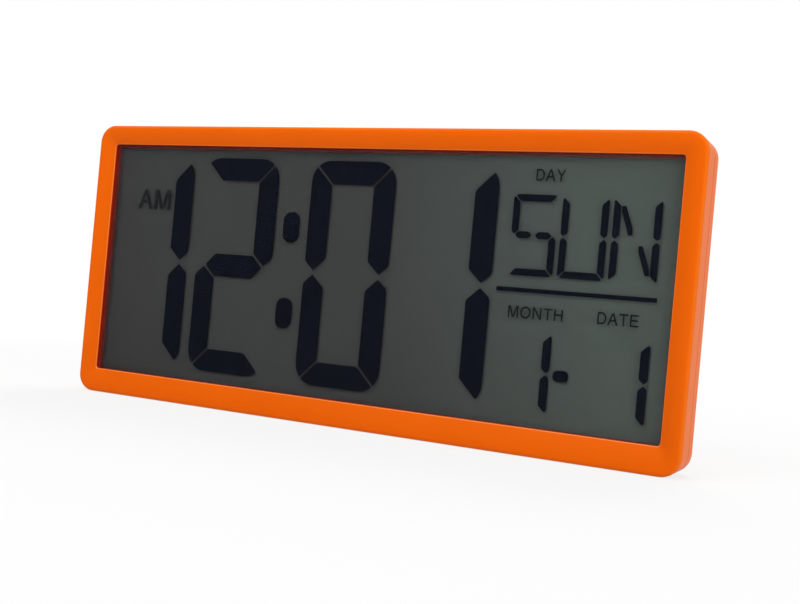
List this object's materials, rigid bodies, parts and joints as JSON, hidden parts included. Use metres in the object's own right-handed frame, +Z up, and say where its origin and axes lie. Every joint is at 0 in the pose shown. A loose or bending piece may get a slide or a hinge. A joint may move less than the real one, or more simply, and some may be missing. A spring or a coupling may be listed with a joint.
{
  "type": "digital wall clock",
  "caption": "Wide digital clock for wall or table: dished orange case round a large liquid crystal time, day and date display, with keyhole hangers, fold-out stand and battery door.",
  "frame": {"origin": "under the middle of the case, on the surface that its bottom edge stands on, halfway through its depth", "axes": "+X to the right of a person who reads the display, +Y from the display back to the wall, +Z up"},
  "size_m": [0.36, 0.027, 0.16],
  "materials": {
    "orange_case": "satin moulded plastic",
    "dark_plastic": "satin moulded plastic",
    "display_ink": "dark liquid crystal",
    "polariser": "matt anti-glare film",
    "display_glass": "clear",
    "reflector": "matt grey-green reflector film",
    "seal": "cured epoxy",
    "foam": "matt foam",
    "pink_rubber": "matt silicone",
    "black_rubber": "matt",
    "white_plastic": "moulded",
    "board_green": "solder mask",
    "tan_parts": "ceramic parts",
    "bright_steel": "plated",
    "cell_wrap": "printed wrap over a metal can",
    "grey_ribbon": "insulation",
    "red_wire": "insulation",
    "black_wire": "insulation"
  },
  "bodies": {
    "case": {"front_bezel": "orange_case", "rear_cover": "orange_case", "tact_switches": "dark_plastic", "buzzer": "dark_plastic", "chip_blobs": "dark_plastic", "lcd_time_segments": "display_ink", "lcd_day_segments": "display_ink", "lcd_date_segments": "display_ink", "lcd_front_polariser": "polariser", "lcd_front_glass": "display_glass", "lcd_rear_glass": "display_glass", "lcd_reflector": "reflector", "lcd_seal": "seal", "lcd_gasket": "foam", "contact_strip": "pink_rubber", "lcd_holder": "white_plastic", "ribbon_headers": "white_plastic", "main_board": "board_green", "button_board": "board_green", "board_parts": "tan_parts", "quartz_crystal": "bright_steel", "alarm_switch_body": "bright_steel", "bridge_contact": "bright_steel", "end_contacts": "bright_steel", "contact_springs": "bright_steel", "stand_pin": "bright_steel", "case_screws": "bright_steel", "holder_screws": "bright_steel", "board_screws": "bright_steel", "button_board_screws": "bright_steel", "upper_cell": "cell_wrap", "lower_cell": "cell_wrap", "ribbon_cable": "grey_ribbon", "red_lead": "red_wire", "black_lead": "black_wire"},
    "battery_door": {"battery_door": "orange_case"},
    "table_stand": {"table_stand": "orange_case", "stand_pad": "black_rubber"},
    "alarm_switch": {"alarm_switch_knob": "dark_plastic"},
    "mode_button": {"mode_button": "dark_plastic", "mode_plunger": "white_plastic"},
    "set_button": {"set_button": "dark_plastic", "set_plunger": "white_plastic"},
    "up_button": {"up_button": "dark_plastic", "up_plunger": "white_plastic"},
    "down_button": {"down_button": "dark_plastic", "down_plunger": "white_plastic"}
  },
  "joints": [
    {"name": "battery_door_swing", "type": "hinge", "parent": "case", "child": "battery_door", "pos_m": [0.0589, 0.0125, 0.08], "axis": [0, 0, 1], "range_deg": [0, 75]},
    {"name": "stand_fold", "type": "hinge", "parent": "case", "child": "table_stand", "pos_m": [0, 0.0114, 0.072], "axis": [1, 0, 0], "range_deg": [0, 20]},
    {"name": "mode_press", "type": "slide", "parent": "case", "child": "mode_button", "axis": [0, -1, 0], "range_m": [0, 0.0005], "stiffness_N_per_m": 300},
    {"name": "set_press", "type": "slide", "parent": "case", "child": "set_button", "axis": [0, -1, 0], "range_m": [0, 0.0005], "stiffness_N_per_m": 300},
    {"name": "up_press", "type": "slide", "parent": "case", "child": "up_button", "axis": [0, -1, 0], "range_m": [0, 0.0005], "stiffness_N_per_m": 300},
    {"name": "down_press", "type": "slide", "parent": "case", "child": "down_button", "axis": [0, -1, 0], "range_m": [0, 0.0005], "stiffness_N_per_m": 300},
    {"name": "alarm_slide", "type": "slide", "parent": "case", "child": "alarm_switch", "axis": [1, 0, 0], "range_m": [0, 0.002]}
  ]
}
